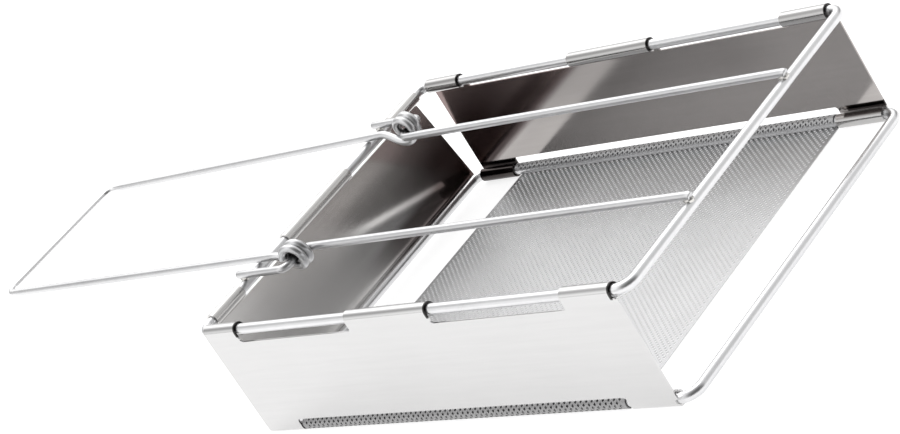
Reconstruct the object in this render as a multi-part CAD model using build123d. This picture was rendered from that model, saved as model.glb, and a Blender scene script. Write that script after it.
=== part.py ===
from build123d import *
import os
from math import cos, sin, tan, radians, sqrt, pi

# ------------------------------------------------------------------ sizes, mm
FRAME_LENGTH = 150.0      # wire axis to wire axis along X
FRAME_WIDTH = 108.0       # wire axis to wire axis along Y
FRAME_HEIGHT = 31.7       # lower wire axis to upper wire axis
CORNER_R_LEFT = 3.0       # centre-line radius of the wire corners at the handle end
CORNER_R_RIGHT = 4.0      # and at the open end
WIRE_R = 1.4              # frame wire radius
BAR_R = 1.1               # support bar and handle wire radius
SHEET = 0.5               # panel and mesh sheet thickness
RUN_GAP = 0.06            # radial running clearance of a rolled knuckle
CURL_OPEN_DEG = 90.0      # opening left between a knuckle's free edge and its sheet

KNUCKLE_IN = WIRE_R + RUN_GAP
KNUCKLE_OUT = KNUCKLE_IN + SHEET
Z_LOW = KNUCKLE_OUT                   # lower wire axis above the rest plane
Z_TOP = Z_LOW + FRAME_HEIGHT          # upper wire axis
HX = FRAME_LENGTH / 2
HY = FRAME_WIDTH / 2

# long side panels: x limits of sheet and knuckles
NEAR_SHEET = (-72.4, 72.1)
NEAR_TOP_KNUCKLES = ((-72.3, -60.0), (-17.8, 11.2), (55.6, 71.0))
NEAR_LOW_KNUCKLES = ((-72.3, -58.8), (56.9, 71.0))
FAR_SHEET = (-73.1, 70.9)
FAR_TOP_KNUCKLES = ((-72.3, -59.6), (-17.0, 12.0), (56.4, 70.8))
FAR_LOW_KNUCKLES = ((-72.3, -59.3), (56.4, 70.8))
NEAR_WINDOWS = (2.9, 2.6)  # window edges: below the upper wire axis, above the lower one
FAR_WINDOWS = (3.1, 3.2)
END_WINDOW_DROP = 2.9

# end panel
END_KNUCKLES = ((-49.3, -36.9), (-15.6, 14.2), (36.9, 49.3))
END_NEAR_Y = -49.3
END_FAR_Y_TOP = 49.3
END_FAR_Y_LOW = 54.4
END_LOW_Z = 1.4

# mesh floor
MESH_X = (-58.3, 55.4)
MESH_ROLL_OPEN_DEG = 95.0

# support bars and handle
BAR_Y = 23.8
BAR_LIFT = WIRE_R + BAR_R + 0.02      # bar axis above the upper wire axis
TAIL_Y = 33.0
TAIL_END_X = -77.2
PIN_X = -58.2
CRANK_R = 2.2
BAR_END_WRAP_DEG = 28.0   # the bar's end follows the rail's round by this much
EYE_R = 3.2               # centre-line radius of the wire eye, loose on its pin
EYE_SHIFT_FAR = -0.55     # eye centre from the pin axis along X
EYE_SHIFT_NEAR = 0.45
EYE_LIFT = 0.5            # eye centre above the pin axis
EYE_PITCH = 2.3
EYE_TURNS = 1.75
EYE_Y = 25.75
LEG_RISE_X = -68.5
LEG_Y_INNER = 26.7
LEG_Y_OUTER = 25.3
HANDLE_END_X = -193.0
HANDLE_CORNER_R = 3.6
LEG_OVER_RAIL = 2.65      # leg axis above the rail axis where it crosses the rail
LEG_SLOPE = -0.0140

os.makedirs("parts", exist_ok=True)


def put(name, shape):
    export_step(shape, f"parts/{name}.step")
    print(name, "solids", len(shape.solids()), "valid", shape.is_valid, "vol", round(shape.volume, 2))


def rounded_path(points, radii):
    """Straight runs joined by tangent arcs; radii has one value per inner point."""
    pts = [Vector(*p) for p in points]
    edges = []
    start = pts[0]
    for i in range(1, len(pts) - 1):
        a, b, c = pts[i - 1], pts[i], pts[i + 1]
        u = (a - b).normalized()
        v = (c - b).normalized()
        ang = u.get_angle(v)
        half = radians(ang) / 2
        cut = radii[i - 1] / tan(half)
        p = b + u * cut
        q = b + v * cut
        bis = (u + v).normalized()
        centre = b + bis * (radii[i - 1] / sin(half))
        mid = centre - bis * radii[i - 1]
        if (p - start).length > 1e-6:
            edges.append(Edge.make_line(start, p))
        edges.append(Edge.make_three_point_arc(p, mid, q))
        start = q
    if (pts[-1] - start).length > 1e-6:
        edges.append(Edge.make_line(start, pts[-1]))
    return edges


def round_wire(edges, radius, frenet=False):
    path = Wire(edges)
    tangent = path % 0
    section = Plane(origin=path @ 0, z_dir=tangent) * Circle(radius)
    return sweep(section, path=path, is_frenet=frenet)


def soften_ends(shape, points, amount):
    """Round the cut ends of a wire at the given end points."""
    rims = []
    for p in points:
        near = [e for e in shape.edges()
                if e.geom_type == GeomType.CIRCLE and (e.arc_center - Vector(*p)).length < 0.05]
        rims += near
    try:
        return fillet(rims, amount)
    except Exception:
        return shape


# --------------------------------------------------------------- wire frames
def wire_frame(z):
    right = round_wire(rounded_path([(0, -HY, z), (HX, -HY, z), (HX, HY, z), (0, HY, z)],
                                    [CORNER_R_RIGHT, CORNER_R_RIGHT]), WIRE_R)
    left = round_wire(rounded_path([(0, -HY, z), (-HX, -HY, z), (-HX, HY, z), (0, HY, z)],
                                   [CORNER_R_LEFT, CORNER_R_LEFT]), WIRE_R)
    return right + left


bottom_frame = wire_frame(Z_LOW)
top_frame = wire_frame(Z_TOP)


# ------------------------------------------------- rolled sheet cross-section
def roll_face(open_from, open_deg, r_in=KNUCKLE_IN, r_out=KNUCKLE_OUT):
    """Ring with an opening that starts at angle open_from and spans open_deg."""
    ring = Circle(r_out) - Circle(r_in)
    n = 6
    pts = [(0, 0)]
    for k in range(n + 1):
        a = radians(open_from + open_deg * k / n)
        pts.append((6 * cos(a), 6 * sin(a)))
    wedge = make_face(Polyline(*pts, close=True))
    return ring - wedge


def knuckle_x(x0, x1, y, z, face):
    """Roll whose axis is parallel to X, between x0 and x1."""
    plane = Plane(origin=(x0, y, z), x_dir=(0, 1, 0), z_dir=(1, 0, 0))
    return extrude(plane * face, amount=x1 - x0)


def block(x0, x1, y0, y1, z0, z1):
    return Pos((x0 + x1) / 2, (y0 + y1) / 2, (z0 + z1) / 2) * Box(x1 - x0, y1 - y0, z1 - z0)


def side_panel(sheet, top_knuckles, low_knuckles, windows):
    """Panel on the -Y side: sheet outside the wires, rolled over both."""
    y_out = -HY - KNUCKLE_OUT
    y_in = -HY - KNUCKLE_IN
    body = block(sheet[0], sheet[1], y_out, y_in, Z_LOW, Z_TOP)
    tops = sorted(top_knuckles)
    for a, b in zip([(-200.0, sheet[0] - 5)] + tops, tops + [(sheet[1] + 5, 200.0)]):
        body -= block(a[1], b[0], y_out - 1, y_in + 1, Z_TOP - windows[0], Z_TOP + 1) \
            if (a[1] > sheet[0] and b[0] < sheet[1]) else \
            block(a[1], b[0], y_out - 1, y_in + 1, Z_TOP - 0.9, Z_TOP + 1)
    lows = sorted(low_knuckles)
    for a, b in zip([(-200.0, sheet[0] - 5)] + lows, lows + [(sheet[1] + 5, 200.0)]):
        body -= block(a[1], b[0], y_out - 1, y_in + 1, Z_LOW - 1, Z_LOW + windows[1]) \
            if (a[1] > sheet[0] and b[0] < sheet[1]) else \
            block(a[1], b[0], y_out - 1, y_in + 1, Z_LOW - 1, Z_LOW + 0.9)
    top_face = roll_face(180, CURL_OPEN_DEG)
    low_face = roll_face(180 - CURL_OPEN_DEG, CURL_OPEN_DEG)
    for a, b in tops:
        body += knuckle_x(a, b, -HY, Z_TOP, top_face)
    for a, b in lows:
        body += knuckle_x(a, b, -HY, Z_LOW, low_face)
    return body


front_panel = side_panel(NEAR_SHEET, list(NEAR_TOP_KNUCKLES), list(NEAR_LOW_KNUCKLES), NEAR_WINDOWS)
rear_panel = mirror(side_panel(FAR_SHEET, list(FAR_TOP_KNUCKLES), list(FAR_LOW_KNUCKLES), FAR_WINDOWS),
                    about=Plane.XZ)


# ------------------------------------------------------------------ end panel
def make_end_panel():
    x_out = -HX - KNUCKLE_OUT
    x_in = -HX - KNUCKLE_IN
    outline = Polyline((END_NEAR_Y, END_LOW_Z), (END_NEAR_Y, Z_TOP), (END_FAR_Y_TOP, Z_TOP),
                       (END_FAR_Y_LOW, END_LOW_Z), close=True)
    plane = Plane(origin=(x_out, 0, 0), x_dir=(0, 1, 0), z_dir=(1, 0, 0))
    body = extrude(plane * make_face(outline), amount=SHEET)
    ks = list(END_KNUCKLES)
    for a, b in zip(ks[:-1], ks[1:]):
        body -= block(x_out - 1, x_in + 1, a[1], b[0], Z_TOP - END_WINDOW_DROP, Z_TOP + 1)
    body -= block(x_out - 1, x_in + 1, END_FAR_Y_TOP, 60, Z_TOP - 3.0, Z_TOP + 1)
    # roll axis parallel to Y: section drawn in the XZ plane, x to the right, z up
    face = roll_face(180, CURL_OPEN_DEG)
    for a, b in ks:
        pl = Plane(origin=(-HX, b, Z_TOP), x_dir=(1, 0, 0), z_dir=(0, -1, 0))
        body += extrude(pl * face, amount=b - a)
    return body


end_panel = make_end_panel()


# ----------------------------------------------------------------- mesh floor
def make_mesh_floor():
    body = block(MESH_X[0], MESH_X[1], -HY, HY, 0, SHEET)
    near = roll_face(-90, MESH_ROLL_OPEN_DEG)
    far = roll_face(-90 - MESH_ROLL_OPEN_DEG, MESH_ROLL_OPEN_DEG)
    body += knuckle_x(MESH_X[0], MESH_X[1], -HY, Z_LOW, near)
    body += knuckle_x(MESH_X[0], MESH_X[1], HY, Z_LOW, far)
    return body


mesh_floor = make_mesh_floor()


# --------------------------------------------------------------- support bars
def make_support_bar():
    z = Z_TOP + BAR_LIFT
    pts = [(HX, BAR_Y, z), (PIN_X, BAR_Y, z), (PIN_X, TAIL_Y, z), (TAIL_END_X, TAIL_Y, z)]

    def over_rail(deg):
        a = radians(deg)
        return (HX + BAR_LIFT * sin(a), BAR_Y, Z_TOP + BAR_LIFT * cos(a))

    tip = over_rail(BAR_END_WRAP_DEG)
    wrap = Edge.make_three_point_arc(Vector(*tip), Vector(*over_rail(BAR_END_WRAP_DEG / 2)), Vector(*pts[0]))
    bar = round_wire([wrap] + rounded_path(pts, [CRANK_R, CRANK_R]), BAR_R)
    return soften_ends(bar, [tip, pts[-1]], 0.4)


support_bar_far = make_support_bar()
support_bar_near = mirror(support_bar_far, about=Plane.XZ)


# --------------------------------------------------------------------- handle
def make_eye(shift):
    """Eye on the +Y side: starts under the pin, runs +X, up and back over the top, moving outwards."""
    zp = Z_TOP + BAR_LIFT + EYE_LIFT
    eye = Edge.make_helix(pitch=EYE_PITCH, height=EYE_PITCH * EYE_TURNS, radius=EYE_R, lefthand=True)
    # helix frame: axis -> +Y, starting direction (its +X) -> -Z
    eye = eye.moved(Plane(origin=(PIN_X + shift, EYE_Y, zp), x_dir=(0, 0, -1), z_dir=(0, 1, 0)).location)
    sec = Plane(origin=eye @ 0, z_dir=eye % 0) * Circle(BAR_R)
    coil = sweep(sec, path=Wire([eye]), is_frenet=True)
    return eye, soften_ends(coil, [tuple(eye @ 1)], 0.3)


def make_handle():
    mirror_y = lambda v: Vector(v.X, -v.Y, v.Z)
    far_eye, far_coil = make_eye(EYE_SHIFT_FAR)
    near_eye, near_coil = make_eye(EYE_SHIFT_NEAR)
    leg_z = Z_TOP + LEG_OVER_RAIL
    a = Vector(LEG_RISE_X, LEG_Y_INNER, leg_z + LEG_SLOPE * (-HX - LEG_RISE_X))
    corner = Vector(HANDLE_END_X, LEG_Y_OUTER, leg_z + LEG_SLOPE * (-HX - HANDLE_END_X))
    leg_dir = (corner - a).normalized()
    u_edges = rounded_path([tuple(a), tuple(corner), tuple(mirror_y(corner)), tuple(mirror_y(a))],
                           [HANDLE_CORNER_R, HANDLE_CORNER_R])
    # each leg leaves its eye in the direction opposite to the eye's start
    far_rise = Edge.make_spline([far_eye @ 0, a], tangents=[(far_eye % 0) * -1, leg_dir])
    near_rise = Edge.make_spline([mirror_y(a), mirror_y(near_eye @ 0)],
                                 tangents=[mirror_y(leg_dir) * -1, mirror_y(near_eye % 0)])
    body = round_wire([far_rise] + u_edges + [near_rise], BAR_R)
    return body + far_coil + mirror(near_coil, about=Plane.XZ)


handle = make_handle()


# ---------------------------------------------------------------------- welds
def blob(x, y, z, rx, ry, rz):
    s = Rot(37, 23, 11) * Sphere(1.0)
    s = scale(s, by=(rx, ry, rz))
    return Pos(x, y, z) * s


def tail_weld(sign):
    b = blob(-HX, sign * TAIL_Y, Z_TOP + WIRE_R, 1.5, 1.35, 0.95)
    return b - top_frame - (support_bar_far if sign > 0 else support_bar_near)


def end_weld(sign):
    b = blob(HX, sign * BAR_Y, Z_TOP + WIRE_R, 1.5, 1.35, 0.95)
    return b - top_frame - (support_bar_far if sign > 0 else support_bar_near)


def largest(shape):
    return max(shape.solids(), key=lambda s: s.volume)


tail_welds = Compound([largest(tail_weld(1)), largest(tail_weld(-1))])
end_welds = Compound([largest(end_weld(1)), largest(end_weld(-1))])
for w in (tail_weld(1), end_weld(1)):
    print("weld lumps", [round(s.volume, 3) for s in w.solids()], w.bounding_box())

put("bottom_frame", bottom_frame)
put("top_frame", top_frame)
put("front_panel", front_panel)
put("rear_panel", rear_panel)
put("end_panel", end_panel)
put("mesh_floor", mesh_floor)
put("support_bar_near", support_bar_near)
put("support_bar_far", support_bar_far)
put("handle", handle)
put("tail_welds", tail_welds)
put("end_welds", end_welds)
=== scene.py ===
from math import cos, pi, radians, sin, sqrt, tan

import bmesh
import bpy
from mathutils import Matrix, Vector


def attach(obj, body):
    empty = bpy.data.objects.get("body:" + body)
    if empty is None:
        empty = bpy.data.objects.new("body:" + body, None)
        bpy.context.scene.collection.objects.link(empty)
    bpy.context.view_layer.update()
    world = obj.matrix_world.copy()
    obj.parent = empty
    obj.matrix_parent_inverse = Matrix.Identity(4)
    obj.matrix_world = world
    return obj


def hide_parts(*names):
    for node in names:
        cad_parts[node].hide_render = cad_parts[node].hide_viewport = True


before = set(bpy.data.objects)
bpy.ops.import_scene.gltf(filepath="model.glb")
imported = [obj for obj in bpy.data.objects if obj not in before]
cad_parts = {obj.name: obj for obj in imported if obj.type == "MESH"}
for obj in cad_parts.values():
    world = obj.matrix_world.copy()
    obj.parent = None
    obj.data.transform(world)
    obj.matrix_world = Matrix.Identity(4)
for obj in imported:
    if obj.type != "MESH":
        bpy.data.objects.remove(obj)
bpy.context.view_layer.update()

MM = 0.001

# ---------------------------------------------------------------- sizes, mm
HX, HY = 75.0, 54.0
WIRE_R, BAR_R, SHEET = 1.4, 1.1, 0.5
KIN = WIRE_R + 0.06
KOUT = KIN + SHEET
RM = KIN + SHEET / 2
Z_LOW = KOUT
Z_TOP = Z_LOW + 31.7
ZP = Z_TOP + WIRE_R + BAR_R + 0.02
CURL = radians(360 - 90)


# ================================================================ materials
def new_mat(name):
    m = bpy.data.materials.new(name)
    m.use_nodes = True
    nt = m.node_tree
    nt.nodes.clear()
    out = nt.nodes.new("ShaderNodeOutputMaterial")
    bs = nt.nodes.new("ShaderNodeBsdfPrincipled")
    nt.links.new(bs.outputs["BSDF"], out.inputs["Surface"])
    return m, nt, bs


def node(nt, kind, **vals):
    n = nt.nodes.new(kind)
    for k, v in vals.items():
        if k in n.inputs:
            n.inputs[k].default_value = v
        else:
            setattr(n, k, v)
    return n


def ramp(nt, src, stops):
    r = nt.nodes.new("ShaderNodeValToRGB")
    els = r.color_ramp.elements
    while len(els) < len(stops):
        els.new(0.5)
    for e, (p, c) in zip(els, stops):
        e.position = p
        e.color = (c[0], c[1], c[2], 1.0) if isinstance(c, (tuple, list)) else (c, c, c, 1.0)
    nt.links.new(src, r.inputs["Fac"])
    return r


def metal(name, base_a, base_b, rough_a, rough_b, coord_scale, grain_scale, bump, aniso=0.0, blotch=18.0, big_bump=0.0, big_scale=12.0):
    """Steel with drawn or brushed grain: coord_scale stretches the noise into lines."""
    m, nt, bs = new_mat(name)
    tc = nt.nodes.new("ShaderNodeTexCoord")
    mp = node(nt, "ShaderNodeMapping")
    mp.inputs["Scale"].default_value = coord_scale
    nt.links.new(tc.outputs["Object"], mp.inputs["Vector"])
    grain = node(nt, "ShaderNodeTexNoise", Scale=grain_scale, Detail=6.0, Roughness=0.6)
    nt.links.new(mp.outputs["Vector"], grain.inputs["Vector"])
    cloud = node(nt, "ShaderNodeTexNoise", Scale=blotch, Detail=4.0, Roughness=0.55)
    nt.links.new(tc.outputs["Object"], cloud.inputs["Vector"])
    mixf = node(nt, "ShaderNodeMath", operation="MULTIPLY_ADD")
    nt.links.new(grain.outputs["Fac"], mixf.inputs[0])
    mixf.inputs[1].default_value = 0.45
    sub = node(nt, "ShaderNodeMath", operation="MULTIPLY")
    nt.links.new(cloud.outputs["Fac"], sub.inputs[0])
    sub.inputs[1].default_value = 0.55
    nt.links.new(sub.outputs[0], mixf.inputs[2])
    col = ramp(nt, mixf.outputs[0], [(0.3, base_a), (0.7, base_b)])
    nt.links.new(col.outputs["Color"], bs.inputs["Base Color"])
    rr = node(nt, "ShaderNodeMapRange")
    rr.inputs["From Min"].default_value = 0.3
    rr.inputs["From Max"].default_value = 0.7
    rr.inputs["To Min"].default_value = rough_a
    rr.inputs["To Max"].default_value = rough_b
    nt.links.new(mixf.outputs[0], rr.inputs["Value"])
    nt.links.new(rr.outputs["Result"], bs.inputs["Roughness"])
    bp = node(nt, "ShaderNodeBump")
    bp.inputs["Strength"].default_value = bump
    bp.inputs["Distance"].default_value = 0.00005
    nt.links.new(grain.outputs["Fac"], bp.inputs["Height"])
    last = bp
    if big_bump:
        wav = node(nt, "ShaderNodeTexNoise", Scale=big_scale, Detail=1.0, Roughness=0.4)
        nt.links.new(tc.outputs["Object"], wav.inputs["Vector"])
        b2 = node(nt, "ShaderNodeBump")
        b2.inputs["Strength"].default_value = 1.0
        b2.inputs["Distance"].default_value = big_bump
        nt.links.new(wav.outputs["Fac"], b2.inputs["Height"])
        nt.links.new(bp.outputs["Normal"], b2.inputs["Normal"])
        last = b2
    nt.links.new(last.outputs["Normal"], bs.inputs["Normal"])
    bs.inputs["Metallic"].default_value = 1.0
    if aniso:
        bs.inputs["Anisotropic"].default_value = aniso
    return m


def smooth(nt, src, lo, hi, out_lo=0.0, out_hi=1.0):
    n = node(nt, "ShaderNodeMapRange", interpolation_type="SMOOTHSTEP")
    n.inputs["From Min"].default_value = lo
    n.inputs["From Max"].default_value = hi
    n.inputs["To Min"].default_value = out_lo
    n.inputs["To Max"].default_value = out_hi
    nt.links.new(src, n.inputs["Value"])
    return n.outputs["Result"]


def calc(nt, op, a, b):
    n = node(nt, "ShaderNodeMath", operation=op)
    for k, v in enumerate((a, b)):
        if isinstance(v, (int, float)):
            n.inputs[k].default_value = v
        else:
            nt.links.new(v, n.inputs[k])
    return n.outputs[0]


def blend_tint_and_painted_light(mat, build_mask, colour):
    """Blend the base colour towards the given colour where build_mask(nt, x, y, z) says so; the masks below paint shade
    and a lighter handle end, with some brown heat tint.
    """
    nt = mat.node_tree
    bs = next(n for n in nt.nodes if n.type == "BSDF_PRINCIPLED")
    src = bs.inputs["Base Color"].links[0].from_socket
    tc = nt.nodes.new("ShaderNodeTexCoord")
    sep = nt.nodes.new("ShaderNodeSeparateXYZ")
    nt.links.new(tc.outputs["Object"], sep.inputs[0])
    wob = node(nt, "ShaderNodeTexNoise", Scale=90.0, Detail=3.0)
    nt.links.new(tc.outputs["Object"], wob.inputs["Vector"])
    mask = build_mask(nt, sep.outputs[0], sep.outputs[1], sep.outputs[2])
    rough = smooth(nt, wob.outputs["Fac"], 0.3, 0.7, 0.94, 1.0)
    mask = calc(nt, "MULTIPLY", mask, rough)
    mix = node(nt, "ShaderNodeMix", data_type="RGBA")
    cols = [i for i in mix.inputs if i.type == "RGBA"]
    nt.links.new(mask, mix.inputs[0])
    nt.links.new(src, cols[0])
    cols[1].default_value = (colour[0], colour[1], colour[2], 1.0)
    nt.links.new(next(o for o in mix.outputs if o.type == "RGBA"), bs.inputs["Base Color"])


def dish(mat, slope):
    """A sheet that isn't quite plumb shades as if its face leaned back by this slope."""
    nt = mat.node_tree
    bs = next(n for n in nt.nodes if n.type == "BSDF_PRINCIPLED")
    src = bs.inputs["Normal"].links[0].from_socket
    tc = nt.nodes.new("ShaderNodeTexCoord")
    sep = nt.nodes.new("ShaderNodeSeparateXYZ")
    nt.links.new(tc.outputs["Object"], sep.inputs[0])
    bp = node(nt, "ShaderNodeBump")
    bp.inputs["Strength"].default_value = 1.0
    bp.inputs["Distance"].default_value = 1.0
    nt.links.new(calc(nt, "MULTIPLY", calc(nt, "MINIMUM", sep.outputs["Z"], 0.0314), -slope), bp.inputs["Height"])
    nt.links.new(src, bp.inputs["Normal"])
    nt.links.new(bp.outputs["Normal"], bs.inputs["Normal"])


def dull(mat):
    """The near half of the end sheet is rubbed duller than its far half."""
    nt = mat.node_tree
    bs = next(n for n in nt.nodes if n.type == "BSDF_PRINCIPLED")
    src = bs.inputs["Roughness"].links[0].from_socket
    tc = nt.nodes.new("ShaderNodeTexCoord")
    sep = nt.nodes.new("ShaderNodeSeparateXYZ")
    nt.links.new(tc.outputs["Object"], sep.inputs[0])
    extra = smooth(nt, sep.outputs["Y"], -0.010, 0.014, 0.14, 0.0)
    nt.links.new(calc(nt, "ADD", src, extra), bs.inputs["Roughness"])


def either(nt, a, b):
    """1 - (1 - a)(1 - b)"""
    return calc(nt, "SUBTRACT", 1.0, calc(nt, "MULTIPLY", calc(nt, "SUBTRACT", 1.0, a), calc(nt, "SUBTRACT", 1.0, b)))


# painted shade and dark reflection on the end sheet, towards the far corner and in a low band, with a brownish heat
# tint
def end_shade_mask(nt, x, y, z):
    far = calc(nt, "MULTIPLY", smooth(nt, y, 0.010, 0.048, 0.0, 0.95), smooth(nt, z, 0.013, 0.030, 1.0, 0.30))
    low = calc(nt, "MULTIPLY", smooth(nt, z, 0.0078, 0.0110, 0.74, 0.0), smooth(nt, y, -0.002, 0.022))
    return calc(nt, "MULTIPLY", either(nt, far, low), smooth(nt, z, 0.0308, 0.0318, 1.0, 0.0))


# painted shade on the far sheet: far-left corner, a band high on the face, the black lower-left knuckle and the seam
# above the lower-right curl
def far_shade_mask(nt, x, y, z):
    slant = calc(nt, "ADD", x, calc(nt, "MULTIPLY", z, -1.91))
    corner = calc(nt, "MULTIPLY", smooth(nt, slant, -0.0775, -0.0742, 0.22, 0.0), smooth(nt, z, 0.0308, 0.0318, 1.0, 0.0))
    upper = calc(nt, "MULTIPLY", smooth(nt, z, 0.012, 0.025, 0.0, 0.26), smooth(nt, z, 0.0308, 0.0318, 1.0, 0.0))
    upper = calc(nt, "MULTIPLY", upper, smooth(nt, x, 0.030, 0.058, 1.0, 0.0))
    low = smooth(nt, z, 0.0050, 0.0053, 1.0, 0.0)
    left = calc(nt, "MULTIPLY", low, smooth(nt, x, -0.0575, -0.0565, 0.93, 0.0))
    over = calc(nt, "MULTIPLY", low, smooth(nt, z, 0.0032, 0.0036, 0.0, 1.0))
    right = calc(nt, "MULTIPLY", over, smooth(nt, x, 0.0588, 0.0594, 0.0, 0.97))
    return either(nt, either(nt, corner, upper), either(nt, left, right))


# brown towards the far-left corner: partly heat tint, partly painted shade
def far_corner_tint_and_shade(nt, x, y, z):
    slant = calc(nt, "ADD", x, calc(nt, "MULTIPLY", z, -1.91))
    return calc(nt, "MULTIPLY", smooth(nt, slant, -0.0810, -0.0745, 0.75, 0.0), smooth(nt, z, 0.0308, 0.0318, 1.0, 0.0))


def knuckle_mask(nt, x, y, z):
    low = calc(nt, "MULTIPLY", smooth(nt, z, 0.0030, 0.0034, 1.0, 0.0), smooth(nt, x, 0.0555, 0.0562))
    return either(nt, low, smooth(nt, z, 0.0316, 0.0320))


def rim_shade_mask(nt, x, z, ends, width):
    """Painted shade: dark rims at the ends of the upper rolls, standing for the shadowed gap where each roll stands off
    its wire.
    """
    rims = None
    for end in ends:
        rim = smooth(nt, x, end - width - 0.0001, end - width)
        rim = calc(nt, "MULTIPLY", rim, smooth(nt, x, end + 0.0002, end + 0.0004, 1.0, 0.0))
        rims = rim if rims is None else either(nt, rims, rim)
    return calc(nt, "MULTIPLY", rims, smooth(nt, z, 0.0321, 0.0326))


def near_rim_shade_mask(nt, x, y, z):
    return rim_shade_mask(nt, x, z, (-0.0600, 0.0112, 0.0710), 0.00045)


def far_rim_shade_mask(nt, x, y, z):
    return rim_shade_mask(nt, x, z, (-0.0596, 0.0120, 0.0708), 0.00025)


def eye_shade_mask(nt, x, y, z):
    """Painted shade inside the wound eyes and on the pins that they turn on."""
    dx = calc(nt, "ADD", x, 0.0582)
    dz = calc(nt, "SUBTRACT", z, 0.0366)
    r = calc(nt, "SQRT", calc(nt, "ADD", calc(nt, "MULTIPLY", dx, dx), calc(nt, "MULTIPLY", dz, dz)), 0.0)
    off = calc(nt, "ABSOLUTE", y, 0.0)
    side = calc(nt, "MULTIPLY", smooth(nt, off, 0.0243, 0.0252), smooth(nt, off, 0.0288, 0.0300, 1.0, 0.0))
    return calc(nt, "MULTIPLY", smooth(nt, r, 0.0020, 0.0031, 0.93, 0.0), side)


def tip_mask(nt, x, y, z):
    """Lighter base colour towards the handle's far end."""
    return either(nt, smooth(nt, x, -0.1925, -0.186, 0.80, 0.0), smooth(nt, x, -0.190, -0.150, 0.25, 0.0))


# painted shade on the near roll of the mesh, in the shadow of the near panel's lower edge
def mesh_roll_shade_mask(nt, x, y, z):
    return smooth(nt, y, -0.0532, -0.0526, 0.45, 0.0)


mat_frame = metal("frame_steel", (0.69, 0.69, 0.70), (0.79, 0.79, 0.795), 0.26, 0.34, (1, 1, 1), 420.0, 0.15, blotch=60.0)
mat_wire = metal("wire_steel", (0.60, 0.60, 0.61), (0.69, 0.69, 0.695), 0.28, 0.36, (1, 1, 1), 420.0, 0.15, blotch=60.0)
mat_sheet = metal("sheet_steel", (0.615, 0.611, 0.610), (0.660, 0.656, 0.655), 0.11, 0.15, (14, 300, 300), 3.0, 0.02, blotch=22.0,
                  big_bump=0.00004, big_scale=18.0)
# same steel as the near panel; its darker base colour is painted shade
mat_far_shaded = metal("far_sheet_steel_shaded", (0.425, 0.40, 0.388), (0.475, 0.45, 0.438), 0.10, 0.15, (14, 300, 300), 3.0, 0.03, blotch=22.0,
                big_bump=0.00008, big_scale=18.0)
mat_end = metal("end_sheet_steel", (0.64, 0.625, 0.615), (0.71, 0.70, 0.69), 0.07, 0.11, (300, 14, 300), 3.0, 0.03, blotch=22.0,
                big_bump=0.00008, big_scale=18.0)
mat_mesh = metal("mesh_steel", (0.53, 0.53, 0.535), (0.61, 0.61, 0.615), 0.44, 0.54, (1, 1, 1), 300.0, 0.2, blotch=30.0)
next(n for n in mat_end.node_tree.nodes if n.type == "BSDF_PRINCIPLED").inputs["Metallic"].default_value = 0.87
next(n for n in mat_mesh.node_tree.nodes if n.type == "BSDF_PRINCIPLED").inputs["Metallic"].default_value = 0.78
# painted shade (and a lighter handle end) blended into the base colours; the far-left brown is partly heat tint
blend_tint_and_painted_light(mat_end, end_shade_mask, (0.046, 0.024, 0.021))
dish(mat_end, 0.128)
blend_tint_and_painted_light(mat_far_shaded, far_corner_tint_and_shade, (0.45, 0.33, 0.32))
blend_tint_and_painted_light(mat_far_shaded, far_shade_mask, (0.020, 0.014, 0.013))
blend_tint_and_painted_light(mat_far_shaded, knuckle_mask, (0.48, 0.474, 0.47))
blend_tint_and_painted_light(mat_far_shaded, far_rim_shade_mask, (0.02, 0.018, 0.018))
blend_tint_and_painted_light(mat_sheet, near_rim_shade_mask, (0.02, 0.018, 0.018))
blend_tint_and_painted_light(mat_wire, eye_shade_mask, (0.03, 0.028, 0.028))
blend_tint_and_painted_light(mat_wire, tip_mask, (0.93, 0.93, 0.935))
dull(mat_end)
blend_tint_and_painted_light(mat_mesh, mesh_roll_shade_mask, (0.16, 0.155, 0.155))
mat_weld = metal("weld_steel", (0.55, 0.53, 0.5), (0.8, 0.79, 0.77), 0.22, 0.4, (1, 1, 1), 900.0, 0.6, blotch=400.0)


# ================================================================= helpers
def add_object(name, mesh, mat, body, *nodes):
    ob = bpy.data.objects.new(name, mesh)
    bpy.context.scene.collection.objects.link(ob)
    mesh.materials.append(mat)
    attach(ob, body)
    if nodes:
        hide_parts(*nodes)
    return ob


def rounded(points, radii, arc_step=5.0, run=6.0):
    """Points along straight runs joined by tangent arcs, in mm."""
    pts = [Vector(p) for p in points]
    out = [pts[0]]

    def line_to(q):
        p = out[-1]
        d = (q - p).length
        n = max(1, int(d / run))
        for k in range(1, n + 1):
            out.append(p.lerp(q, k / n))

    for i in range(1, len(pts) - 1):
        a, b, c = pts[i - 1], pts[i], pts[i + 1]
        u, v = (a - b).normalized(), (c - b).normalized()
        half = u.angle(v) / 2
        r = radii[i - 1]
        cut = r / tan(half)
        p, q = b + u * cut, b + v * cut
        centre = b + (u + v).normalized() * (r / sin(half))
        line_to(p)
        e1 = (p - centre).normalized()
        sweep = pi - 2 * half
        e2 = ((q - centre) - e1 * (q - centre).dot(e1)).normalized()
        n = max(3, int(sweep / radians(arc_step)))
        for k in range(1, n + 1):
            t = sweep * k / n
            out.append(centre + (e1 * cos(t) + e2 * sin(t)) * r)
    line_to(pts[-1])
    return out


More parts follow.
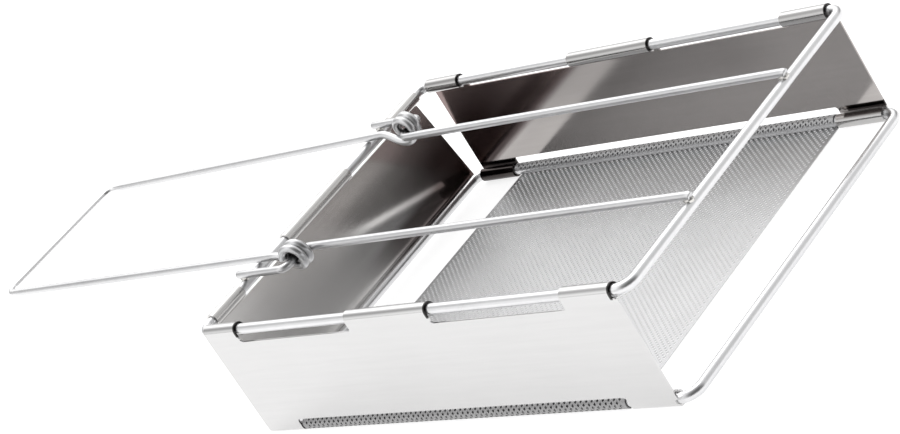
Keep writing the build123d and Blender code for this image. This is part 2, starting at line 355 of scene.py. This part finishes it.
def tube(name, pts, radius, closed=False, sides=32, end_r=0.35):
    """Round wire along pts (mm); open ends get a small rounded rim."""
    P = []
    for p in pts:
        if not P or (p - P[-1]).length > 1e-5:
            P.append(p)
    if closed and (P[0] - P[-1]).length < 1e-5:
        P.pop()
    n = len(P)
    T = []
    for i in range(n):
        if closed:
            T.append((P[(i + 1) % n] - P[i - 1]).normalized())
        else:
            a = P[max(i - 1, 0)]
            b = P[min(i + 1, n - 1)]
            T.append((b - a).normalized())
    ref = Vector((0, 0, 1)) if abs(T[0].z) < 0.9 else Vector((1, 0, 0))
    N = (ref - T[0] * ref.dot(T[0])).normalized()
    frames = []
    for i in range(n):
        if i:
            N = (N - T[i] * N.dot(T[i])).normalized()
        frames.append((P[i], T[i], N.copy(), T[i].cross(N)))
    rings = []
    if not closed:
        for k in range(5):
            a = pi / 2 * k / 4
            rings.append((frames[0], radius - end_r + end_r * sin(a), -end_r * cos(a) + end_r))
    for i, f in enumerate(frames):
        if closed or 0 < i < n - 1:
            rings.append((f, radius, 0.0))
    if not closed:
        for k in range(5):
            a = pi / 2 * (1 - k / 4)
            rings.append((frames[-1], radius - end_r + end_r * sin(a), end_r * cos(a) - end_r))
    verts, faces = [], []
    for (p, t, nn, bb), r, shift in rings:
        for k in range(sides):
            a = 2 * pi * k / sides
            verts.append((p + t * shift + (nn * cos(a) + bb * sin(a)) * r) * MM)
    m = len(rings)
    for i in range(m if closed else m - 1):
        j = (i + 1) % m
        off = 0
        if closed and i == m - 1:
            # the frame has turned round the loop: match the nearest start corner
            a0 = Vector(verts[i * sides])
            off = min(range(sides), key=lambda k: (Vector(verts[k]) - a0).length)
        for k in range(sides):
            faces.append((i * sides + k, i * sides + (k + 1) % sides,
                          j * sides + (k + 1 + off) % sides, j * sides + (k + off) % sides))
    if not closed:
        faces.append(tuple(reversed(range(sides))))
        faces.append(tuple((m - 1) * sides + k for k in range(sides)))
    me = bpy.data.meshes.new(name)
    me.from_pydata([tuple(v) for v in verts], [], faces)
    bm = bmesh.new()
    bm.from_mesh(me)
    bmesh.ops.recalc_face_normals(bm, faces=bm.faces)
    bm.to_mesh(me)
    bm.free()
    for p in me.polygons:
        p.use_smooth = len(p.vertices) == 4
    return me


def fillet2d(poly, radii, seg=5):
    """Round the corners of a closed 2-D outline; a radius of 0 keeps the corner."""
    out = []
    n = len(poly)
    for i in range(n):
        a, b, c = Vector(poly[i - 1]), Vector(poly[i]), Vector(poly[(i + 1) % n])
        r = radii[i]
        if r <= 0:
            out.append((b.x, b.y))
            continue
        u, v = (a - b).normalized(), (c - b).normalized()
        ang = u.angle(v)
        cut = min(r / tan(ang / 2), (a - b).length * 0.49, (c - b).length * 0.49)
        r = cut * tan(ang / 2)
        p, q = b + u * cut, b + v * cut
        cen = b + (u + v).normalized() * (r / sin(ang / 2))
        e1 = (p - cen).normalized()
        w = (q - cen)
        e2 = (w - e1 * w.dot(e1)).normalized()
        sw = pi - ang
        for k in range(seg + 1):
            t = sw * k / seg
            d = e1 * cos(t) + e2 * sin(t)
            out.append((cen.x + d.x * r, cen.y + d.y * r))
    return out


def flat_bmesh(outline, cuts_x, cuts_s):
    bm = bmesh.new()
    vs = [bm.verts.new((x, s, 0)) for x, s in outline]
    bm.faces.new(vs)
    for x in cuts_x:
        bmesh.ops.bisect_plane(bm, geom=bm.verts[:] + bm.edges[:] + bm.faces[:], dist=1e-5,
                               plane_co=(x, 0, 0), plane_no=(1, 0, 0))
    for s in cuts_s:
        bmesh.ops.bisect_plane(bm, geom=bm.verts[:] + bm.edges[:] + bm.faces[:], dist=1e-5,
                               plane_co=(0, s, 0), plane_no=(0, 1, 0))
    return bm


def thicken(name, bm, place, half):
    """Sheet of two skins and a rim: place(u, s) gives the middle point and the normal, mm."""
    bm.verts.ensure_lookup_table()
    bm.verts.index_update()
    n = len(bm.verts)
    top, low = [], []
    for v in bm.verts:
        p, nn = place(v.co.x, v.co.y)
        top.append(tuple((p + nn * half) * MM))
        low.append(tuple((p - nn * half) * MM))
    faces = []
    for f in bm.faces:
        ids = [v.index for v in f.verts]
        faces.append(tuple(ids))
        faces.append(tuple(n + i for i in reversed(ids)))
    for e in bm.edges:
        if len(e.link_faces) == 1:
            lp = e.link_loops[0]
            a, b = lp.vert.index, lp.link_loop_next.vert.index
            faces.append((b, a, n + a, n + b))
    me = bpy.data.meshes.new(name)
    me.from_pydata(top + low, [], faces)
    b2 = bmesh.new()
    b2.from_mesh(me)
    bmesh.ops.recalc_face_normals(b2, faces=b2.faces)
    b2.to_mesh(me)
    b2.free()
    return me


def soft_edges(ob, width, seg=2, angle=35):
    for p in ob.data.polygons:
        p.use_smooth = True
    mod = ob.modifiers.new("edge", "BEVEL")
    mod.width = width * MM
    mod.segments = seg
    mod.limit_method = "ANGLE"
    mod.angle_limit = radians(angle)
    mod.harden_normals = True
    return ob


def steps(a, b, d):
    n = max(1, int(round(abs(b - a) / d)))
    return [a + (b - a) * k / n for k in range(1, n)]


# ============================================================== wire frames
def wire_loop(z):
    return rounded([(0, -HY, z), (HX, -HY, z), (HX, HY, z), (-HX, HY, z), (-HX, -HY, z), (0, -HY, z)],
                   [4.0, 4.0, 3.0, 3.0], 4.0, 5.0)


add_object("bottom_wire", tube("bottom_wire", wire_loop(Z_LOW), WIRE_R, True), mat_frame, "base", "bottom_frame")
add_object("top_wire", tube("top_wire", wire_loop(Z_TOP), WIRE_R, True), mat_frame, "deck", "top_frame")


# ======================================================== rolled side panels
def panel_outline(sheet, tops, lows, windows, corner=0.9):
    """Outline in (x, s): s is the height on the flat, and arc length round the wires beyond it."""
    s_hi = Z_TOP + RM * CURL
    s_lo = Z_LOW - RM * CURL
    win_t, win_l = Z_TOP - windows[0], Z_LOW + windows[1]
    pts, rad = [], []

    def put(x, s, r):
        pts.append((x, s))
        rad.append(r)

    tops, lows = sorted(tops), sorted(lows)
    # lower edge, left to right
    put(sheet[0], Z_LOW + 0.9, 0.5)
    for i, (a, b) in enumerate(lows):
        put(a, (Z_LOW + 0.9) if i == 0 else win_l, 0.2 if i == 0 else corner)
        put(a, s_lo, 0.15)
        put(b, s_lo, 0.15)
        put(b, (Z_LOW + 0.9) if i == len(lows) - 1 else win_l, 0.2 if i == len(lows) - 1 else corner)
    put(sheet[1], Z_LOW + 0.9, 0.5)
    put(sheet[1], Z_TOP - 0.9, 0.5)
    for i, (a, b) in enumerate(reversed(tops)):
        put(b, (Z_TOP - 0.9) if i == 0 else win_t, 0.2 if i == 0 else corner)
        put(b, s_hi, 0.15)
        put(a, s_hi, 0.15)
        last = i == len(tops) - 1
        put(a, (Z_TOP - 0.9) if last else win_t, 0.2 if last else corner)
    put(sheet[0], Z_TOP - 0.9, 0.5)
    return fillet2d(pts, rad)


def side_place(sign):
    def place(x, s):
        if s > Z_TOP:
            a = (s - Z_TOP) / RM
            n = Vector((0, -cos(a), sin(a)))
            p = Vector((x, -HY, Z_TOP)) + n * RM
        elif s < Z_LOW:
            a = (Z_LOW - s) / RM
            n = Vector((0, -cos(a), -sin(a)))
            p = Vector((x, -HY, Z_LOW)) + n * RM
        else:
            n = Vector((0, -1, 0))
            p = Vector((x, -HY - RM, s))
        if sign > 0:
            p.y, n.y = -p.y, -n.y
        return p, n

    return place


def side_panel(name, sheet, tops, lows, sign, body, node_name):
    step = RM * radians(9)
    cs = [Z_TOP, Z_LOW]
    k = 1
    while k * step < RM * CURL:
        cs += [Z_TOP + k * step, Z_LOW - k * step]
        k += 1
    cs += steps(Z_LOW, Z_TOP, 4.0)
    cx = steps(sheet[0], sheet[1], 6.0)
    bm = flat_bmesh(panel_outline(sheet, tops, lows, (2.9, 2.6) if sign < 0 else (3.1, 3.2)), cx, cs)
    me = thicken(name, bm, side_place(sign), SHEET / 2)
    bm.free()
    ob = add_object(name, me, mat_sheet if sign < 0 else mat_far_shaded, body, node_name)
    return soft_edges(ob, 0.09)


side_panel("near_side", (-72.4, 72.1), ((-72.3, -60.0), (-17.8, 11.2), (55.6, 71.0)),
           ((-72.3, -58.8), (56.9, 71.0)), -1, "front", "front_panel")
side_panel("far_side", (-73.1, 70.9), ((-72.3, -59.6), (-17.0, 12.0), (56.4, 70.8)),
           ((-72.3, -59.3), (56.4, 70.8)), 1, "rear", "rear_panel")


# ================================================================ end panel
def end_outline():
    ks = ((-49.3, -36.9), (-15.6, 14.2), (36.9, 49.3))
    s_hi = Z_TOP + RM * CURL
    pts = [(-49.3, 1.4), (54.4, 1.4)]
    rad = [0.8, 0.8]
    # slanted far edge up to the last knuckle
    f = (Z_TOP - 3.0 - 1.4) / (Z_TOP - 1.4)
    pts.append((54.4 + (49.3 - 54.4) * f, Z_TOP - 3.0))
    rad.append(0.3)
    pts.append((49.3, Z_TOP - 3.0))
    rad.append(0.1)
    for i, (a, b) in enumerate(reversed(ks)):
        if i:
            pts.append((b, Z_TOP - 2.9))
            rad.append(0.9)
        pts += [(b, s_hi), (a, s_hi)]
        rad += [0.15, 0.15]
        if i < 2:
            pts.append((a, Z_TOP - 2.9))
            rad.append(0.9)
    return fillet2d(pts, rad)


def end_place(y, s):
    if s > Z_TOP:
        a = (s - Z_TOP) / RM
        n = Vector((-cos(a), 0, sin(a)))
        p = Vector((-HX, y, Z_TOP)) + n * RM
    else:
        n = Vector((-1, 0, 0))
        p = Vector((-HX - RM, y, s))
    return p, n


def make_end():
    step = RM * radians(9)
    cs = [Z_TOP]
    k = 1
    while k * step < RM * CURL:
        cs.append(Z_TOP + k * step)
        k += 1
    cs += steps(1.4, Z_TOP, 4.0)
    bm = flat_bmesh(end_outline(), steps(-49.3, 54.4, 6.0), cs)
    me = thicken("end_sheet", bm, end_place, SHEET / 2)
    bm.free()
    ob = add_object("end_sheet", me, mat_end, "end", "end_panel")
    return soft_edges(ob, 0.09)


make_end()


# =============================================================== mesh floor
MX0, MX1 = -58.3, 55.4
PX, PY = 1.77, 1.68
ROLL = radians(360 - 95)


def mesh_place(x, s):
    if abs(s) <= HY:
        return Vector((x, s, SHEET / 2)), Vector((0, 0, -1))
    sg = 1 if s > 0 else -1
    a = (abs(s) - HY) / RM
    n = Vector((0, sg * sin(a), -cos(a)))
    return Vector((x, sg * HY, Z_LOW)) + n * RM, n


def mesh_layer(row0, row1, hole):
    """Slanting strands at 45 degrees with four-sided holes; cells share their corners."""
    bm = bmesh.new()
    key = {}

    def vert(x, s):
        x = min(max(x, MX0), MX1)
        k = (round(x, 4), round(s, 4))
        if k not in key:
            key[k] = bm.verts.new((x, s, 0))
        return key[k]

    hx, hy = PX / 2, PY / 2
    cols = int((MX1 - MX0) / PX)
    x_first = (MX0 + MX1) / 2 - (cols - 1) * hx - hx / 2
    for r in range(row0, row1):
        s = (r + 0.5) * hy
        off = hx if r % 2 else 0.0
        for c in range(-1, cols + 2):
            x = x_first + c * PX + off
            ring = [vert(x + hx, s), vert(x, s + hy), vert(x - hx, s), vert(x, s - hy)]
            uniq = []
            for v in ring:
                if v not in uniq:
                    uniq.append(v)
            if x - hx > MX0 + 0.05 and x + hx < MX1 - 0.05:
                hv = [bm.verts.new((x + dx * hole, s + ds * hole, 0)) for dx, ds in ((1, 0), (0, 1), (-1, 0), (0, -1))]
                for k in range(4):
                    bm.faces.new((ring[k], ring[(k + 1) % 4], hv[(k + 1) % 4], hv[k]))
            elif len(uniq) >= 3 and len({round(v.co.x, 4) for v in uniq}) > 1:
                try:
                    bm.faces.new(uniq)
                except ValueError:
                    pass
    return bm


H_ROW = PY / 2
rows_all = int((HY + RM * ROLL) / H_ROW)
for nm, r0, r1 in (("mesh_near_half", -rows_all, 0), ("mesh_far_half", 0, rows_all)):
    bm = mesh_layer(r0, r1, 0.44)
    me = thicken(nm, bm, mesh_place, 0.11)
    bm.free()
    print(nm, "faces", len(me.polygons))
    if r0 < 0:
        add_object(nm, me, mat_mesh, "base", "mesh_floor")
    else:
        add_object(nm, me, mat_mesh, "base")


# ============================================================= support bars
def bar_path(sign):
    lift = ZP - Z_TOP
    tip = []
    for k in range(8, 0, -1):
        a = radians(28.0 * k / 8)
        tip.append(Vector((HX + lift * sin(a), 23.8 * sign, Z_TOP + lift * cos(a))))
    pts = [(HX, 23.8, ZP), (-58.2, 23.8, ZP), (-58.2, 33.0, ZP), (-77.2, 33.0, ZP)]
    return tip + rounded([(x, y * sign, z) for x, y, z in pts], [2.2, 2.2], 6.0, 5.0)


add_object("bar_near", tube("bar_near", bar_path(-1), BAR_R, sides=28), mat_wire, "deck", "support_bar_near")
add_object("bar_far", tube("bar_far", bar_path(1), BAR_R, sides=28), mat_wire, "deck", "support_bar_far")


# =================================================================== handle
def handle_path():
    er, pitch, turns, ey = 3.2, 2.3, 1.75, 25.75
    zc = ZP + 0.5
    n = 90
    leg_z = Z_TOP + 2.65
    slope = -0.0140
    a = Vector((-68.5, 26.7, leg_z + slope * (-75.0 + 68.5)))
    corner = Vector((-193.0, 25.3, leg_z + slope * (-75.0 + 193.0)))
    ld = (corner - a).normalized()

    def side(px):
        def helix(t):
            f = 2 * pi * turns * t
            return Vector((px + er * sin(f), ey + pitch * f / (2 * pi), zc - er * cos(f)))

        coil = [helix(1 - k / n) for k in range(n + 1)]
        start = coil[-1]
        t0 = Vector((er, pitch / (2 * pi), 0)).normalized()
        chord = (a - start).length
        rise = []
        for k in range(1, 13):
            t = k / 12
            h00, h10 = 2 * t**3 - 3 * t**2 + 1, t**3 - 2 * t**2 + t
            h01, h11 = -2 * t**3 + 3 * t**2, t**3 - t**2
            rise.append(start * h00 + (-t0) * chord * h10 + a * h01 + ld * chord * h11)
        return coil + rise

    mir = lambda v: Vector((v.x, -v.y, v.z))
    u = rounded([a, corner, mir(corner), mir(a)], [3.6, 3.6], 5.0, 6.0)
    return side(-58.75)[:-1] + u + [mir(v) for v in reversed(side(-57.75)[:-1])]


add_object("handle_wire", tube("handle_wire", handle_path(), BAR_R, sides=28), mat_wire, "grip", "handle")


# ==================================================================== welds
def weld_mesh(name, spots):
    bm = bmesh.new()
    for (x, y, z), (rx, ry, rz) in spots:
        m = Matrix.Translation(Vector((x, y, z)) * MM) @ Matrix.Diagonal((rx * MM, ry * MM, rz * MM, 1))
        r = bmesh.ops.create_icosphere(bm, subdivisions=4, radius=1.0, matrix=m)
        for v in r["verts"]:
            d = (v.co / MM) - Vector((x, y, z))
            w = 1 + 0.07 * sin(d.x * 5.1 + y) * cos(d.y * 4.3) + 0.04 * sin(d.z * 9.0 + x)
            v.co = (Vector((x, y, z)) + d * w) * MM
    me = bpy.data.meshes.new(name)
    bm.to_mesh(me)
    bm.free()
    for p in me.polygons:
        p.use_smooth = True
    return me


add_object("tail_weld_spots", weld_mesh("tail_weld_spots", [((-75, s * 33.0, Z_TOP + 1.4), (1.45, 1.3, 0.9)) for s in (1, -1)]),
           mat_weld, "deck", "tail_welds")
add_object("end_weld_spots", weld_mesh("end_weld_spots", [((75, s * 23.8, Z_TOP + 1.4), (1.45, 1.3, 0.9)) for s in (1, -1)]),
           mat_weld, "deck", "end_welds")

# ==================================================================== stage
me = bpy.data.meshes.new("floor")
me.from_pydata([(-4, -4, -0.0002), (4, -4, -0.0002), (4, 4, -0.0002), (-4, 4, -0.0002)], [], [(0, 1, 2, 3)])
floor = bpy.data.objects.new("floor", me)
bpy.context.scene.collection.objects.link(floor)
fm, fnt, fbs = new_mat("floor_white")
fn = node(fnt, "ShaderNodeTexNoise", Scale=4.0)
fr = ramp(fnt, fn.outputs["Fac"], [(0.3, 0.50), (0.7, 0.52)])
fnt.links.new(fr.outputs["Color"], fbs.inputs["Base Color"])
fbs.inputs["Roughness"].default_value = 0.9
fbs.inputs["Specular IOR Level"].default_value = 0.1
fbs.inputs["Emission Color"].default_value = (1, 1, 1, 1)
fbs.inputs["Emission Strength"].default_value = 0.80
me.materials.append(fm)

world = bpy.data.worlds.new("studio")
bpy.context.scene.world = world
world.use_nodes = True
wn = world.node_tree
wn.nodes.clear()
wo = wn.nodes.new("ShaderNodeOutputWorld")
bg = wn.nodes.new("ShaderNodeBackground")
wn.links.new(bg.outputs[0], wo.inputs[0])
wtc = wn.nodes.new("ShaderNodeTexCoord")

# soft light from all round: (azimuth, elevation, sharpness, strength); azimuth 0 is +X, 90 is +Y
STRENGTH = [0.37, 0.03, 0.85, 0.05, 0.68, 0.44, 1.10, 0.75, 0.0, 0.05, 0.75, 1.75, 1.42, 0.05, 1.05, 0.03, 0.03, 0.13, 2.5, 0.95, 0.05]
LOBES = [(0, 90, 6)]
LOBES += [(az, 12, 16) for az in range(0, 360, 45)]
LOBES += [(az + 22.5, 38, 16) for az in range(0, 360, 45)]
LOBES += [(az + 45, 62, 16) for az in range(0, 360, 90)]
total = None
for i, ((az, el, k), w) in enumerate(zip(LOBES, STRENGTH)):
    dot = node(wn, "ShaderNodeVectorMath", operation="DOT_PRODUCT")
    wn.links.new(wtc.outputs["Generated"], dot.inputs[0])
    dot.inputs[1].default_value = (cos(radians(az)) * cos(radians(el)), sin(radians(az)) * cos(radians(el)), sin(radians(el)))
    ma = node(wn, "ShaderNodeMath", operation="MULTIPLY_ADD")
    wn.links.new(dot.outputs["Value"], ma.inputs[0])
    ma.inputs[1].default_value = k
    ma.inputs[2].default_value = -k
    ex = node(wn, "ShaderNodeMath", operation="EXPONENT")
    wn.links.new(ma.outputs[0], ex.inputs[0])
    ad = node(wn, "ShaderNodeMath", operation="MULTIPLY_ADD")
    ad.name = "lobe_%d" % i
    wn.links.new(ex.outputs[0], ad.inputs[0])
    ad.inputs[1].default_value = w
    if total is None:
        ad.inputs[2].default_value = 0.06
    else:
        wn.links.new(total.outputs[0], ad.inputs[2])
    total = ad
wn.links.new(total.outputs[0], bg.inputs["Color"])
bg.inputs["Strength"].default_value = 1.0


# =================================================================== camera
cam_d = bpy.data.cameras.new("cam")
cam = bpy.data.objects.new("cam", cam_d)
bpy.context.scene.collection.objects.link(cam)
right = Vector((0.6896782, 0.5243633, -0.4993867))
down = Vector((-0.0951818, -0.6180191, -0.7803799))
ahead = Vector((-0.7178331, 0.5857436, -0.3763244))
cm = Matrix.Identity(4)
for i in range(3):
    cm[i][0], cm[i][1], cm[i][2] = right[i], -down[i], -ahead[i]
cm.translation = Vector((487.37267, -422.02797, 295.07508)) * MM
cam.matrix_world = cm
cam_d.lens = 110.34863
cam_d.sensor_width = 36.0
cam_d.sensor_fit = "HORIZONTAL"
cam_d.clip_start = 0.01
cam_d.clip_end = 50.0
bpy.context.scene.camera = cam

bpy.context.scene.view_settings.view_transform = "Standard"
bpy.context.scene.view_settings.look = "None"
